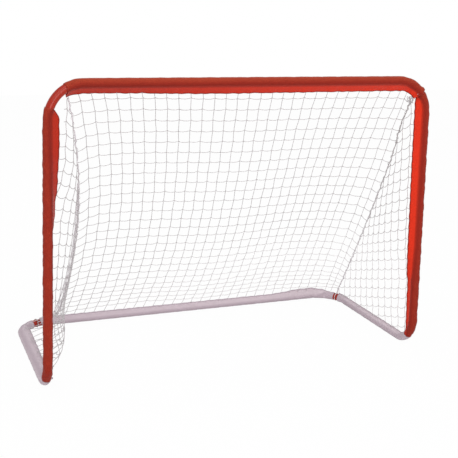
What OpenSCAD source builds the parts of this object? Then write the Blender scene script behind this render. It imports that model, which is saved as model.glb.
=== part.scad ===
// Small street hockey goal: a bent steel tube frame that plugs together with
// snap buttons, cloth sleeves over the tubes, and a net sewn between them.
// Millimetres. X runs along the crossbar, Y from the mouth to the back, Z up.
// The origin is on the floor, in the middle of the goal's outline.

/* [Goal] */
// Width over the sleeves at the crossbar
goal_w = 1200; // [900:10:1500]
// Height over the crossbar sleeve
goal_h = 900; // [800:10:1100]
// Depth over the sleeves at the floor
goal_d = 600; // [500:10:700]
// How far each foot stands out past the end of the crossbar
post_splay = 20; // [0:1:40]

/* [Tube frame] */
// Outer diameter of the steel tube
tube_d = 25; // [23:0.5:28]
// Wall of the steel tube
tube_wall = 1.5; // [1.2:0.1:2]
// Centre line radius of the two top corner bends
top_bend_r = 100; // [80:1:120]
// Centre line radius of the bend at each foot
foot_bend_r = 88; // [75:1:100]
// Centre line radius of the two back corner bends
back_bend_r = 100; // [80:1:120]
// Straight tube between a bend and the joint next to it
bend_leg = 60; // [45:1:80]
// Length of the reduced end that plugs into the next tube
plug_len = 40; // [32:1:50]
// Length of the cone from full tube to reduced end
swage_len = 5; // [3:0.5:8]
// Clearance on the radius between a plug and the tube round it
plug_gap = 0.1; // [0.05:0.01:0.2]

/* [Snap buttons] */
// Diameter of a button
button_d = 6.4; // [5:0.1:7]
// How far a button stands out of the outer tube
button_out = 2.2; // [1.5:0.1:2.6]
// Chamfer on a button's head
button_chamfer = 0.9; // [0.5:0.1:1.4]
// Diameter of the flange that keeps a button in
flange_d = 7.6; // [7.2:0.1:9]
// Thickness of that flange
flange_t = 0.8; // [0.5:0.1:1]
// Clearance round a button and under its flange
button_gap = 0.2; // [0.1:0.05:0.3]
// Width of the spring strip
spring_w = 6; // [4:0.5:7]
// Thickness of the spring strip
spring_t = 0.5; // [0.4:0.1:0.8]
// Length of a spring from its button to its fold
spring_len = 26; // [20:1:32]
// Radius of a spring's fold
spring_fold_r = 1.2; // [1:0.1:2]
// Length of the flat pads at a spring's two ends
spring_pad = 9; // [7:0.5:11]

/* [Sleeves] */
// Thickness of the sleeve cloth
cloth_t = 0.8; // [0.6:0.1:1.2]
// Clearance between the cloth and the tube
cloth_gap = 0.3; // [0.2:0.05:0.5]
// Reach of the red sleeves' net edge from the tube's centre
red_flap = 33; // [28:1:38]
// Reach of the side sleeves' net edge from the tube's centre
side_flap = 23; // [21:1:30]
// Reach of the back bar sleeve's net edge from the tube's centre
back_flap = 28; // [24:1:34]
// Depth of the sewn seam along a net edge
seam_w = 5; // [4:0.5:6]
// Thickness of that seam
seam_t = 2.4; // [2:0.1:3]
// How far round a bend a seam narrows to nothing, in degrees
seam_fade = 30; // [15:1:30]
// How far the crossbar sleeve reaches round the left corner, in degrees
crossbar_wrap_left = 31; // [20:1:40]
// How far the crossbar sleeve reaches round the right corner, in degrees
crossbar_wrap_right = 52; // [45:1:54]
// Where the left post sleeve starts on the corner bend, in degrees
post_start_left = 70; // [62:1:80]
// Where the right post sleeve starts on the corner bend, in degrees
post_start_right = 58; // [57:1:80]
// How far a post sleeve reaches round the foot bend, in degrees
post_wrap = 38; // [25:1:50]
// Clearance between two sleeves' ends, in degrees of the bend they share
sleeve_parting = 1; // [0.5:0.1:2]
// Turn of a post's net edge from the mouth side, in degrees
post_flap_turn = 52; // [30:1:75]
// Lean of a side sleeve's net edge inwards, in degrees
side_flap_lean = 27; // [15:1:40]
// Start of the bare tube at the left back corner, in degrees from the side
bare_from_left = 55; // [50:1:60]
// End of the bare tube at the left back corner, in degrees from the side
bare_to_left = 78; // [70:1:85]
// Start of the bare tube at the right back corner, in degrees from the side
bare_from_right = 19; // [12:1:20]
// End of the bare tube at the right back corner, in degrees from the side
bare_to_right = 32; // [30:1:45]
// Depth of the flat that the floor sleeves rest on
floor_flat = 0.5; // [0.3:0.1:0.6]

/* [Net] */
// Thickness of the net cords
cord_d = 3; // [2:0.5:4]
// Spacing of the net cords
mesh_pitch = 80; // [70:1:100]
// Diameter of the seam cord between a side panel and the back panel
seam_cord_d = 6; // [4:0.5:7]
// Clearance between a net's edge cord and what it is sewn to
net_gap = 0.3; // [0.2:0.05:0.5]
// Thickness of the cord that ties a net corner to the frame
tie_d = 2.5; // [2:0.25:3]
// Clearance between a tie and the tube it goes round
tie_gap = 0.3; // [0.2:0.05:0.5]
// Sag of the back panel, square to its slope
back_sag = 44; // [0:1:60]
// Sag of its two edges along the seam cords
seam_sag = 7; // [0:1:15]
// How far the left seam hangs inside a straight line
left_draw = 62; // [0:1:80]
// How far the left end of the back panel's foot lies in from the back corner bend
left_foot_in = 20; // [0:1:40]
// How far that end lies in front of the foot's straight run
left_foot_ahead = 31; // [0:1:40]
// How far the left side panel bulges into the goal between post and seam
left_bulge = 30; // [0:1:40]
// How far the right side panel bulges into the goal between post and seam
right_bulge = 12; // [0:1:40]
// Height over the floor at which a side panel starts to spread out to its side
flare_z = 134; // [100:1:160]
// Height of the right lower corner over the centre of the back bend
corner_rise = 24; // [20:1:30]

/* [Hidden] */
$fn = 48;

left = -1;
right = 1;
red = [0.76, 0.16, 0.12];
tube_red = [0.62, 0.10, 0.09];
white = [0.86, 0.83, 0.86];
net_white = [0.80, 0.78, 0.80];
steel = [0.72, 0.73, 0.75];

// Tube radii: outer, inner, and those of the reduced end that plugs in
tube_r = tube_d / 2;
bore_r = tube_r - tube_wall;
plug_r = bore_r - plug_gap;
plug_bore_r = plug_r - tube_wall;

// Cloth radii where a sleeve lies close round the tube
cloth_in = tube_r + cloth_gap;
cloth_out = cloth_in + cloth_t;

// What joins the end of a straight run lies this much inside its faces, and
// laps into it by this many degrees or millimetres, so the two always fuse
ease = 0.15;
lap = 0.5;

// Centre lines of the frame
front_y = cloth_out - goal_d / 2;
back_y = goal_d / 2 - cloth_out;
floor_z = cloth_out - floor_flat;
top_z = goal_h - cloth_out;
corner_x = goal_w / 2 - cloth_out;
foot_x = corner_x + post_splay;

// The posts lean outwards, so the top bends turn a little less than 90 degrees
post_rise = top_z - floor_z;
lean = atan(post_splay / post_rise);
top_turn = 90 - lean;
top_tangent = top_bend_r * tan(top_turn / 2);

// Straight runs between the bends
crossbar_half = corner_x - top_tangent;
post_run = norm([post_rise, post_splay]) - top_tangent - foot_bend_r;
side_run = back_y - front_y - foot_bend_r - back_bend_r;
back_half = foot_x - back_bend_r;

// Slope of the back panel, and the turn of the sleeves' net edges that follow it
net_slope = atan(post_rise / (back_y - front_y));
crossbar_turn = 90 - net_slope;
side_turn = 90 - side_flap_lean;
back_turn = net_slope;

// Heights of a snap button and its spring from the tube's axis
button_z = plug_len / 2;
button_top = tube_r + button_out;
flange_seat = sqrt(pow(plug_bore_r, 2) - pow(flange_d / 2, 2)) - button_gap / 2;
button_base = flange_seat - flange_t;
spring_top = button_base - button_gap - spring_t / 2;
spring_foot = button_gap + spring_t / 2 - sqrt(pow(plug_bore_r, 2) - pow(spring_w / 2, 2));

// Radius of a tie's loop round a bare tube
tie_r = tube_r + tie_gap + tie_d / 2;

// Middles of the bare stretches on the bends, where the net is tied, in degrees
top_tie_turn = (crossbar_wrap_right + post_start_right) / 2;
back_tie_left_turn = (bare_from_left + bare_to_left) / 2;
back_tie_right_turn = (bare_from_right + bare_to_right) / 2;

// How far the middle of an edge cord stands off a sleeve's seam, and off the middle
// of a seam cord
edge_off = net_gap + cord_d / 2;
seam_off = net_gap + seam_cord_d / 2 + cord_d;

// Ends of the back panel's top and foot, along the net edges of the crossbar sleeve
// and the back bar sleeve, with X counted outwards on each side
net_front = [0, front_y + red_flap * cos(net_slope), top_z - red_flap * sin(net_slope)];
net_rear = [0, back_y - back_flap * cos(net_slope), floor_z + back_flap * sin(net_slope)];
top_left = net_front + [crossbar_half + top_bend_r * sin(crossbar_wrap_left) - seam_cord_d, 0, 0];
top_right = net_front + [crossbar_half + top_bend_r * sin(top_tie_turn) - seam_cord_d, 0, 0];
foot_left = net_rear + [back_half - left_foot_in, -left_foot_ahead, 0];
foot_right = on_back_bend(back_tie_right_turn) + [0, 0, corner_rise];

// Numbers of meshes across and down the back panel, and each way in a side panel
back_across = round((top_left[0] + top_right[0]) / mesh_pitch);
back_down = round(norm(net_rear - net_front) / mesh_pitch);
side_down = 10;

// A point at a distance z down the right post and a reach from its centre, on its
// sleeve's net edge
function post_edge(z, reach) = [
    corner_x + (top_tangent + z) * sin(lean) - reach * cos(post_flap_turn),
    front_y + reach * sin(post_flap_turn),
    top_z - (top_tangent + z) * cos(lean)
];

// A point at a distance z along the right side and a reach from its centre, on its
// sleeve's net edge
function side_edge(z, reach) = [
    foot_x - reach * cos(side_turn),
    front_y + foot_bend_r + z,
    floor_z + reach * sin(side_turn)
];

// A place on the back panel at a share u of the way from left to right and t of the
// way down. Its foot comes forward at both corners, its left edge is drawn in, and it
// sags in between.
function back_place(u, t) = let (
    out = foot_right[0] * u - foot_left[0] * (1 - u),
    foot = [
        out,
        net_rear[1] - left_foot_ahead * pow(1 - u, 24)
            - (net_rear[1] - foot_right[1]) * pow(max(0, out - back_half)
                / (foot_right[0] - back_half), 2),
        net_rear[2]
    ],
    top = [top_right[0] * u - top_left[0] * (1 - u), net_front[1], net_front[2]],
    sag = (seam_sag + (back_sag - seam_sag) * (1 - pow(abs(2 * u - 1), 3)))
        * sin(180 * pow(t, 1.2))
) top + (foot - top) * t + [left_draw * pow(1 - u, 4) * sin(180 * pow(t, 1.35)), 0, 0]
    - sag * [0, sin(net_slope), cos(net_slope)];

// A place on a seam, with X counted outwards on its side
function seam_place(side, t) =
    let (p = back_place(side == left ? 0 : 1, t)) [side * p[0], p[1], p[2]];

// Centres of the right top bend and the right back bend at an angle round them
function on_top_bend(a) = [
    crossbar_half + top_bend_r * sin(a), front_y, top_z - top_bend_r * (1 - cos(a))
];
function on_back_bend(a) = [
    back_half + back_bend_r * cos(a), back_y - back_bend_r * (1 - sin(a)), floor_z
];

// ---- Places: a tube is drawn along its own +Z, the way it runs, with +X
// towards the inside of the goal. The left side is the right one mirrored ----

module on_side(side) {
    mirror([side == left ? 1 : 0, 0, 0]) children();
}

// Moves on past a bend of radius r that turns a degrees towards +X
module past_bend(r, a) {
    translate([r * (1 - cos(a)), 0, r * sin(a)]) rotate([0, a, 0]) children();
}

// At the middle of the crossbar, running to the right, +X down
module at_crossbar() {
    translate([0, front_y, top_z]) rotate([0, 90, 0]) children();
}

// At the start of the top corner bend
module at_top_bend() {
    at_crossbar() translate([0, 0, crossbar_half]) children();
}

// At the top of the post's straight run, running down, +X to the mouth's middle
module at_post() {
    at_top_bend() past_bend(top_bend_r, top_turn) children();
}

// At the start of the foot bend, +X to the back
module at_foot_bend() {
    at_post() translate([0, 0, post_run]) rotate([0, 0, 90]) children();
}

// At the start of the side's straight run, running back, +Y up
module at_side() {
    translate([foot_x, front_y + foot_bend_r, floor_z]) rotate([90, 0, 180]) children();
}

// At the start of the back corner bend
module at_back_bend() {
    at_side() translate([0, 0, side_run]) children();
}

// At the end of the back bar, running to its middle, +X to the mouth, +Y up
module at_back_bar() {
    at_back_bend() past_bend(back_bend_r, 90) children();
}

// On a plane through p, with ex and ey along its own X and Y
module on_plane(p, ex, ey) {
    ez = cross(ex, ey);
    multmatrix([
        [ex[0], ey[0], ez[0], p[0]],
        [ex[1], ey[1], ez[1], p[1]],
        [ex[2], ey[2], ez[2], p[2]]
    ]) children();
}

// ---- Sections and runs ----

module ring(outer, inner) {
    difference() {
        circle(outer);
        circle(inner);
    }
}

// Carries a section round a bend of radius r between two angles
module bend(r, from, to) {
    translate([r, 0, 0]) rotate([90, 0, 180]) rotate([0, 0, from - lap])
        rotate_extrude(angle = to - from + 2 * lap, $fn = 96)
            translate([r, 0]) mirror([1, 0]) children();
}

module tube(from, to) {
    translate([0, 0, from]) linear_extrude(to - from) ring(tube_r, bore_r);
}

module tube_bend(r, a) {
    bend(r, 0, a) ring(tube_r - ease, bore_r + ease);
}

// Hole for a snap button, a turn away from +X, at height z
module button_hole(z, turn) {
    rotate([0, 0, turn]) translate([0, 0, z]) rotate([0, 90, 0])
        cylinder(h = tube_r + 1, d = button_d + 2 * button_gap);
}

// Reduced end that goes into the tube whose mouth is at z = 0
module plug(turn) {
    difference() {
        rotate_extrude() polygon([
            [bore_r, -swage_len], [tube_r, -swage_len], [plug_r, 0], [plug_r, plug_len],
            [plug_bore_r, plug_len], [plug_bore_r, 0]
        ]);
        button_hole(button_z, turn);
    }
}

// ---- Tube frame ----

// Half the crossbar, the corner bend and the plug into the post. The left half
// plugs into the right one.
module top_tube(side) {
    color(tube_red) on_side(side) {
        at_crossbar() {
            if (side == left) {
                mirror([0, 0, 1]) plug(crossbar_turn);
                tube(swage_len, crossbar_half);
            } else {
                difference() {
                    tube(0, crossbar_half);
                    button_hole(button_z, crossbar_turn);
                }
            }
        }
        at_top_bend() tube_bend(top_bend_r, top_turn);
        at_post() {
            tube(0, bend_leg - swage_len);
            translate([0, 0, bend_leg]) plug(post_flap_turn);
        }
    }
}

// A post, the bend at its foot and the plug into the side of the base
module post_tube(side) {
    color(tube_red) on_side(side) {
        at_post() difference() {
            tube(bend_leg, post_run);
            button_hole(bend_leg + button_z, post_flap_turn);
        }
        at_foot_bend() tube_bend(foot_bend_r, 90);
        at_side() {
            tube(0, bend_leg - swage_len);
            translate([0, 0, bend_leg]) plug(side_turn);
        }
    }
}

// A side of the base, the back corner bend and half the back bar. The left
// half plugs into the right one.
module base_tube(side) {
    color(tube_red) on_side(side) {
        at_side() difference() {
            tube(bend_leg, side_run);
            button_hole(bend_leg + button_z, side_turn);
        }
        at_back_bend() tube_bend(back_bend_r, 90);
        at_back_bar() {
            if (side == left) {
                tube(0, back_half - swage_len);
                translate([0, 0, back_half]) plug(back_turn);
            } else {
                difference() {
                    tube(0, back_half);
                    button_hole(back_half - button_z, back_turn);
                }
            }
        }
    }
}

// ---- Snap buttons: each sits in the holes of a plug and the tube round it ----

module at_crossbar_joint() {
    at_crossbar() rotate([0, 0, crossbar_turn]) children();
}

module at_back_bar_joint() {
    on_side(left) at_back_bar() translate([0, 0, back_half]) rotate([0, 0, back_turn]) children();
}

module at_post_joint(side) {
    on_side(side) at_post() translate([0, 0, bend_leg]) rotate([0, 0, post_flap_turn])
        children();
}

module at_foot_joint(side) {
    on_side(side) at_side() translate([0, 0, bend_leg]) rotate([0, 0, side_turn]) children();
}

// Turned steel button: a flange inside the plug and a chamfered head outside
module snap_button() {
    color(steel) translate([0, 0, button_z]) rotate([0, 90, 0]) rotate_extrude() polygon([
        [0, button_base], [flange_d / 2, button_base], [flange_d / 2, flange_seat],
        [button_d / 2, flange_seat], [button_d / 2, button_top - button_chamfer],
        [button_d / 2 - button_chamfer, button_top], [0, button_top]
    ]);
}

// Outline of a strip of thickness t along a path of points, by the mean
// direction of the path at each point
function strip(path, t) =
    let (
        last = len(path) - 1,
        side = [
            for (i = [0 : last])
                let (v = path[min(i + 1, last)] - path[max(i - 1, 0)])
                    [-v[1], v[0]] * t / 2 / norm(v)
        ]
    )
    concat(path + side, [for (i = [last : -1 : 0]) path[i] - side[i]]);

// Leaf spring folded into a V: one end under the button, the other on the
// plug's far wall, the fold further back in the tube
module leaf_spring() {
    fold_z = button_z - spring_len;
    fold_x = (spring_top + spring_foot) / 2;
    path = concat(
        [[spring_top, button_z + spring_pad / 2], [spring_top, button_z - spring_pad / 2]],
        [for (a = [0 : 30 : 180]) [fold_x + spring_fold_r * cos(a), fold_z - spring_fold_r * sin(a)]],
        [[spring_foot, button_z - spring_pad / 2], [spring_foot, button_z + spring_pad / 2]]
    );
    color(steel) rotate([90, 0, 0]) linear_extrude(spring_w, center = true)
        polygon(strip(path, spring_t));
}

// ---- Sleeves: cloth drawn round the tube, its two edges sewn together in a
// seam that reaches out to the net ----

// Angle at which a side of the sleeve leaves the circle round the tube
function side_angle(reach) =
    atan2(seam_t / 2, reach) + acos(cloth_out / norm([reach, seam_t / 2]));

// A circle with two straight sides that leave it at angle a and stop at reach
module drop(r, a, reach) {
    half = (r - reach * cos(a)) / sin(a);
    circle(r);
    polygon([
        [r * cos(a), r * sin(a)], [r * cos(a), -r * sin(a)], [reach, -half], [reach, half]
    ]);
}

module sleeve_section(reach, turn) {
    a = side_angle(reach);
    rotate(turn) difference() {
        drop(cloth_out, a, reach);
        drop(cloth_in, a, reach - seam_w);
    }
}

module sleeve_bend(r, from, to) {
    bend(r, from, to) ring(cloth_out - ease, cloth_in + ease);
}

// Past the start of a bend the two sides of the sleeve lie flat together, and
// narrow to nothing at the tube, before the sleeve ends at a degrees
module seam_end(r, reach, turn, a) {
    fade = min(a, seam_fade);
    difference() {
        rotate([0, 0, turn]) rotate([90, 0, 0]) linear_extrude(seam_t, center = true)
            polygon([
                [0, -lap], [reach - ease, -lap], [r * (1 - cos(fade)) * cos(turn), r * sin(fade)]
            ]);
        bend(r, 0, fade + lap) circle(cloth_in + cloth_t / 2);
    }
}

module crossbar_sleeve() {
    color(red) {
        at_crossbar() translate([0, 0, -crossbar_half])
            linear_extrude(2 * crossbar_half) sleeve_section(red_flap, crossbar_turn);
        at_top_bend() sleeve_bend(top_bend_r, 0, crossbar_wrap_right);
        on_side(left) at_top_bend() sleeve_bend(top_bend_r, 0, crossbar_wrap_left);
        for (side = [left, right]) on_side(side)
            at_top_bend() seam_end(top_bend_r, red_flap, crossbar_turn, seam_fade);
    }
}

module post_sleeve(side) {
    start = side == left ? post_start_left : post_start_right;
    color(red) on_side(side) {
        at_top_bend() sleeve_bend(top_bend_r, start, top_turn);
        at_post() {
            mirror([0, 0, 1]) seam_end(top_bend_r, red_flap, post_flap_turn, top_turn - start);
            linear_extrude(post_run) sleeve_section(red_flap, post_flap_turn);
        }
        at_foot_bend() {
            sleeve_bend(foot_bend_r, 0, post_wrap - sleeve_parting / 2);
            seam_end(foot_bend_r, red_flap, post_flap_turn - 90, post_wrap);
        }
    }
}

module above_floor() {
    intersection() {
        children();
        translate([-goal_w, -goal_d, 0]) cube([2 * goal_w, 2 * goal_d, goal_h]);
    }
}

module side_sleeve(side) {
    bare_from = side == left ? bare_from_left : bare_from_right;
    color(white) above_floor() on_side(side) {
        at_foot_bend() sleeve_bend(foot_bend_r, post_wrap + sleeve_parting / 2, 90);
        at_side() {
            mirror([0, 0, 1]) rotate([0, 0, 90])
                seam_end(foot_bend_r, side_flap, side_turn - 90, 90 - post_wrap);
            linear_extrude(side_run) sleeve_section(side_flap, side_turn);
        }
        at_back_bend() {
            sleeve_bend(back_bend_r, 0, bare_from);
            seam_end(back_bend_r, side_flap, side_turn, bare_from);
        }
    }
}

module back_bar_sleeve() {
    color(white) above_floor() {
        at_back_bar() linear_extrude(2 * back_half) sleeve_section(back_flap, back_turn);
        for (end = [[left, bare_to_left], [right, bare_to_right]]) on_side(end[0]) {
            at_back_bend() sleeve_bend(back_bend_r, end[1], 90);
            at_back_bar() mirror([0, 0, 1])
                seam_end(back_bend_r, back_flap, back_turn, 90 - end[1]);
        }
    }
}

// ---- Net: panels of crossing cords, hung between the sleeves and two seam cords ----

function unit(v) = v / norm(v);

// Part of v that is square to unit vector u
function square_to(v, u) = v - (v * u) * u;

// A net over lines 0 to n across and 0 to m down, with a knot wherever has(i, j) and
// cords between neighbours. place(i, j) is a knot's place, also between the lines, a
// cord is wide[0] and wide[1] of a mesh across, and its thickness lies along thick.
module net(n, m, wide, thick, has, place) {
    function corner(i, j, a, b, c) = (((i * (m + 1) + j) * 2 + a) * 2 + b) * 2 + c;
    function quad(p) = [[p[0], p[1], p[2]], [p[0], p[2], p[3]]];
    // Both broad faces of a stretch from one pair of corners to another
    function broad(p, q, r, s) = concat(
        quad([for (k = [p, q, r, s]) corner(k[0], k[1], k[2], k[3], 1)]),
        quad([for (k = [s, r, q, p]) corner(k[0], k[1], k[2], k[3], 0)])
    );
    // The edge face that a stretch has from one corner to another
    function edge(p, q) = quad([
        corner(p[0], p[1], p[2], p[3], 0), corner(q[0], q[1], q[2], q[3], 0),
        corner(q[0], q[1], q[2], q[3], 1), corner(p[0], p[1], p[2], p[3], 1)
    ]);
    // A knot that the panel lacks takes the place of the one at the foot of its column
    points = [
        for (i = [0 : n], j = [0 : m], a = [-0.5, 0.5], b = [-0.5, 0.5], c = [-0.5, 0.5])
            place(i + a * wide[0], (has(i, j) ? j : m) + b * wide[1]) + c * cord_d * thick
    ];
    faces = [
        for (i = [0 : n], j = [0 : m]) if (has(i, j)) each concat(
            broad([i, j, 0, 0], [i, j, 1, 0], [i, j, 1, 1], [i, j, 0, 1]),
            has(i - 1, j) ? [] : edge([i, j, 0, 1], [i, j, 0, 0]),
            has(i, j - 1) ? [] : edge([i, j, 0, 0], [i, j, 1, 0]),
            has(i + 1, j) ? concat(
                broad([i, j, 1, 0], [i + 1, j, 0, 0], [i + 1, j, 0, 1], [i, j, 1, 1]),
                edge([i, j, 1, 0], [i + 1, j, 0, 0]), edge([i + 1, j, 0, 1], [i, j, 1, 1])
            ) : edge([i, j, 1, 0], [i, j, 1, 1]),
            has(i, j + 1) ? concat(
                broad([i, j, 0, 1], [i, j, 1, 1], [i, j + 1, 1, 0], [i, j + 1, 0, 0]),
                edge([i, j, 1, 1], [i, j + 1, 1, 0]), edge([i, j + 1, 0, 0], [i, j, 0, 1])
            ) : edge([i, j, 1, 1], [i, j, 0, 1])
        )
    ];
    polyhedron(points, faces);
}

module net_back() {
    width = top_left[0] + top_right[0];
    depth = norm(net_rear - net_front);
    color(net_white) net(
        back_across, back_down, cord_d * [back_across / width, back_down / depth],
        [0, -sin(net_slope), -cos(net_slope)],
        function(i, j) i >= 0 && j >= 0 && i <= back_across && j <= back_down,
        function(i, j) back_place(
            seam_off / width + i / back_across * (1 - 2 * seam_off / width),
            edge_off / depth + j / back_down * (1 - 2 * edge_off / depth)
        )
    );
}

// Share of the way down a seam at which it has height z, found by halving
function seam_at(side, z, low = 0, high = 1) = high - low < 0.0001 ? low :
    let (middle = (low + high) / 2)
        seam_place(side, middle)[2] > z ? seam_at(side, z, middle, high)
            : seam_at(side, z, low, middle);

// A place on a side panel, with X counted outwards: row j from the top, at a share q of
// the way from the post to the seam
function side_place(side, q, j) = let (
    top = seam_place(side, 0)[2],
    reach = side_flap + edge_off,
    foot = side_edge(0, reach),
    end = post_edge(post_run, red_flap + edge_off),
    z = top + (foot[2] + cord_d / 2 - top) * j / side_down,
    down = (post_edge(0, 0)[2] - z) / cos(lean),
    low = max(0, (end[2] - z) / (end[2] - foot[2])),
    front = [0, cord_d / 2, 0]
        + (low > 0 ? end + (foot - end) * low : post_edge(down, red_flap + edge_off)),
    p = seam_place(side, seam_at(side, z)),
    seam = [p[0], p[1] - seam_off / sin(net_slope), z],
    bulge = (side == left ? left_bulge : right_bulge) * sin(180 * q) * sin(180 * z / top),
    x = front[0] + (seam[0] - front[0]) * q - bulge,
    flare = pow(max(0, 1 - (z - foot[2]) / (flare_z - foot[2])), 2) * (1 - pow(q, 6))
) [x + (foot[0] - x) * flare, front[1] + (seam[1] - front[1]) * q, z];

// The side panel, between a seam cord, a post and a side of the base. Row j has j
// meshes, so its last knots follow the seam.
module net_side(side) {
    wide = cord_d * side_down / (top_right[2] - floor_z);
    color(net_white) on_side(side) net(
        side_down, side_down, [wide * 1.5, wide], [1, 0, 0],
        function(i, j) i >= 0 && j >= 1 && i <= j && j <= side_down,
        function(i, j) side_place(side, i / max(j, 0.5), j)
    );
}

// A six-sided cord through the points of a path
module cord_along(path, d) {
    n = len(path);
    points = [
        for (k = [0 : n - 1])
            let (
                ahead = unit(path[min(k + 1, n - 1)] - path[max(k - 1, 0)]),
                x = unit(square_to([1, 0, 0], ahead)), y = cross(ahead, x)
            )
            for (a = [0 : 60 : 300]) path[k] + d / 2 * (cos(a) * x + sin(a) * y)
    ];
    faces = [
        [for (a = [5 : -1 : 0]) a],
        for (k = [0 : n - 2], a = [0 : 5])
            each let (b = (a + 1) % 6, from = 6 * k, to = 6 * k + 6)
                [[from + a, from + b, to + b], [from + a, to + b, to + a]],
        [for (a = [0 : 5]) 6 * (n - 1) + a]
    ];
    polyhedron(points, faces);
}

module seam_cord(side) {
    color(net_white) on_side(side)
        cord_along([for (k = [0 : 24]) seam_place(side, k / 24)], seam_cord_d);
}

// A round cord from p to q
module cord(p, q, d) {
    v = q - p;
    translate(p) rotate([0, acos(v[2] / norm(v)), atan2(v[1], v[0])]) cylinder(h = norm(v), d = d);
}

// Loop of cord round a bare tube with centre c and direction t, with a knot and a tail
// that stops short of the end of the seam cord
module tie(c, t, end, short) {
    out = unit(square_to(end - c, t));
    knot = c + (tie_r + tie_d) * out;
    color(net_white) {
        on_plane(c, out, cross(t, out)) rotate_extrude() translate([tie_r, 0])
            circle(d = tie_d, $fn = 16);
        translate(knot) sphere(d = 2 * tie_d);
        cord(knot, end - short * unit(end - knot), tie_d);
    }
}

module top_tie() {
    tie(
        on_top_bend(top_tie_turn), [cos(top_tie_turn), 0, -sin(top_tie_turn)], top_right,
        seam_off + tie_d
    );
}

module back_tie(side) {
    a = side == left ? back_tie_left_turn : back_tie_right_turn;
    end = side == left ? foot_left : foot_right;
    above_floor() on_side(side) tie(on_back_bend(a), [-sin(a), cos(a), 0], end, tie_d);
}

top_tube(left);  // top_tube_left
top_tube(right);  // top_tube_right
post_tube(left);  // post_tube_left
post_tube(right);  // post_tube_right
base_tube(left);  // base_tube_left
base_tube(right);  // base_tube_right
crossbar_sleeve();
post_sleeve(left);  // post_sleeve_left
post_sleeve(right);  // post_sleeve_right
side_sleeve(left);  // side_sleeve_left
side_sleeve(right);  // side_sleeve_right
back_bar_sleeve();
net_back();
net_side(left);  // net_side_left
net_side(right);  // net_side_right
seam_cord(left);  // seam_cord_left
seam_cord(right);  // seam_cord_right
top_tie();
back_tie(left);  // back_tie_left
back_tie(right);  // back_tie_right
at_crossbar_joint() snap_button();  // crossbar_button
at_back_bar_joint() snap_button();  // back_bar_button
at_post_joint(left) snap_button();  // post_button_left
at_post_joint(right) snap_button();  // post_button_right
at_foot_joint(left) snap_button();  // foot_button_left
at_foot_joint(right) snap_button();  // foot_button_right
at_crossbar_joint() leaf_spring();  // crossbar_spring
at_back_bar_joint() leaf_spring();  // back_bar_spring
at_post_joint(left) leaf_spring();  // post_spring_left
at_post_joint(right) leaf_spring();  // post_spring_right
at_foot_joint(left) leaf_spring();  // foot_spring_left
at_foot_joint(right) leaf_spring();  // foot_spring_right
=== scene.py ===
import bpy
import numpy as np
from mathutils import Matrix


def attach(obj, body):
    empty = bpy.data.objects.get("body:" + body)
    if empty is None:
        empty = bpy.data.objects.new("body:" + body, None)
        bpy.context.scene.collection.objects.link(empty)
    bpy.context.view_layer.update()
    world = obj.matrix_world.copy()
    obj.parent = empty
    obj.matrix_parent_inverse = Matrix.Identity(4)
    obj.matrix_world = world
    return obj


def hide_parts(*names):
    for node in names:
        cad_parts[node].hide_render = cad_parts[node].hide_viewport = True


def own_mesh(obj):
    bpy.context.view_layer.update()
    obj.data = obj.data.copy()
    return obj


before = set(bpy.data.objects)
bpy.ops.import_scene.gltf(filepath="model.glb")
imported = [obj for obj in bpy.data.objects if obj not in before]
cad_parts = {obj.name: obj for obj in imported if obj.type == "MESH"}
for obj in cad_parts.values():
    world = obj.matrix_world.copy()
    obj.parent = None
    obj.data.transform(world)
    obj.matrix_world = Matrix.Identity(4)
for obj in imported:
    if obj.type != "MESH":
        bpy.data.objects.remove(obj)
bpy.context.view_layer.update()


# ---- Camera: a long lens that stands to the left of the mouth and a little above
# the crossbar, and looks down into the goal's right half.
def stand(thing, across, over, behind, spot):
    """Puts a camera or a lamp at a spot. It looks the opposite way from its third axis."""
    pose = np.eye(4)
    pose[:3, 0], pose[:3, 1], pose[:3, 2], pose[:3, 3] = across, over, behind, spot
    thing.matrix_world = pose.T
    bpy.context.collection.objects.link(thing)


out, back, up = np.eye(3)       # to the goal's right, from its mouth to its back, and up
pan, tilt, roll = 0.3749, 0.2460, 0.0256
ahead = np.cos(tilt) * (np.sin(pan) * out + np.cos(pan) * back) - np.sin(tilt) * up
level = np.cos(pan) * out - np.sin(pan) * back
upright = np.cross(level, ahead)

camera = bpy.data.objects.new("camera", bpy.data.cameras.new("camera"))
sensor, focal_length, image_width = 36.0, 902.9, 458        # in mm, then in pixels
camera.data.sensor_width, camera.data.lens = sensor, focal_length / image_width * sensor
stand(camera, level * np.cos(roll) + upright * np.sin(roll),
      upright * np.cos(roll) - level * np.sin(roll), -ahead, (-1.01233, -2.70522, 1.10644))
bpy.context.scene.camera = camera


# ---- Tubes: six bent steel tubes, 25 mm across, that plug together into a hoop
# with a base. They are powder-coated glossy red, which shows where the covers stop.
class Wire:
    """A socket to do sums with: each operator adds the Math node that works it out."""

    def __init__(self, finish, socket):
        self.finish, self.socket = finish, socket

    def math(self, operation, *others):
        """Works out an operation on this value and others."""
        values = dict(enumerate((self, *others)))
        return self.finish.node("ShaderNodeMath", {"operation": operation}, values)

    def __add__(self, other):
        return self.math("ADD", other)

    def __sub__(self, other):
        return self.math("SUBTRACT", other)

    def __rsub__(self, other):
        return self.math("MULTIPLY_ADD", -1.0, other)

    def __mul__(self, other):
        return self.math("MULTIPLY", other)

    __radd__, __rmul__ = __add__, __mul__


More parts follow.
